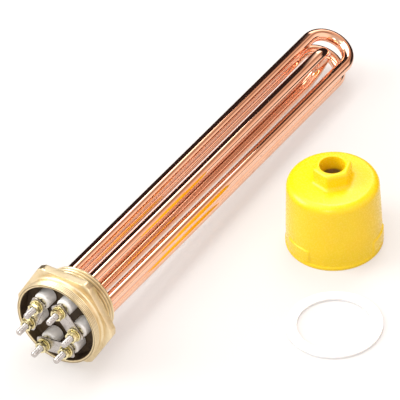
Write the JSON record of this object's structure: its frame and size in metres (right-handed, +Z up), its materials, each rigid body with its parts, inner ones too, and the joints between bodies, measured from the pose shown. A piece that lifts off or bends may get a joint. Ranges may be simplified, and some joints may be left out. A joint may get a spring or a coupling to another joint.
{
  "type": "immersion heater",
  "caption": "Screw-in electric immersion heater with hairpin copper-sheathed elements in a threaded brass head, its yellow plastic terminal cap taken off and a flat sealing ring beside it",
  "frame": {"origin": "On the floor, under the middle of the whole set", "axes": "+Z up, +Y along the heater from its terminals to its bends, +X towards the cap and the ring"},
  "size_m": [0.189, 0.3368, 0.0602],
  "materials": {
    "brass": "satin machined brass",
    "copper": "bright drawn copper",
    "nickel": "nickel plated",
    "porcelain": "glazed white",
    "magnesia": "packed powder",
    "resistance_wire": "wound wire",
    "resin": "set resin",
    "silver_solder": "brazed fillet",
    "yellow_plastic": "glossy moulded",
    "silicone": "soft satin"
  },
  "bodies": {
    "root": {"brass_head": "brass", "sheath_ac": "copper", "sheath_be": "copper", "sheath_fd": "copper", "filling_ac": "magnesia", "filling_be": "magnesia", "filling_fd": "magnesia", "heating_coil_ac": "resistance_wire", "heating_coil_be": "resistance_wire", "heating_coil_fd": "resistance_wire", "terminal_stud_a": "nickel", "terminal_stud_b": "nickel", "terminal_stud_c": "nickel", "terminal_stud_d": "nickel", "terminal_stud_e": "nickel", "terminal_stud_f": "nickel", "end_seal_a": "resin", "end_seal_b": "resin", "end_seal_c": "resin", "end_seal_d": "resin", "end_seal_e": "resin", "end_seal_f": "resin", "porcelain_bead_a": "porcelain", "porcelain_bead_b": "porcelain", "porcelain_bead_c": "porcelain", "porcelain_bead_d": "porcelain", "porcelain_bead_e": "porcelain", "porcelain_bead_f": "porcelain", "solder_ring_a": "silver_solder", "solder_ring_b": "silver_solder", "solder_ring_c": "silver_solder", "solder_ring_d": "silver_solder", "solder_ring_e": "silver_solder", "solder_ring_f": "silver_solder", "lower_nut_a": "brass", "lower_nut_b": "brass", "lower_nut_c": "brass", "lower_nut_d": "brass", "lower_nut_e": "brass", "lower_nut_f": "brass", "washer_a": "brass", "washer_b": "brass", "washer_c": "brass", "washer_d": "brass", "washer_e": "brass", "washer_f": "brass", "top_nut_a": "brass", "top_nut_b": "brass", "top_nut_c": "brass", "top_nut_d": "brass", "top_nut_e": "brass", "top_nut_f": "brass", "bus_bar_bc": "nickel", "bus_bar_de": "nickel", "bus_bar_fa": "nickel", "terminal_cap": "yellow_plastic", "sealing_ring": "silicone"}
  },
  "joints": []
}
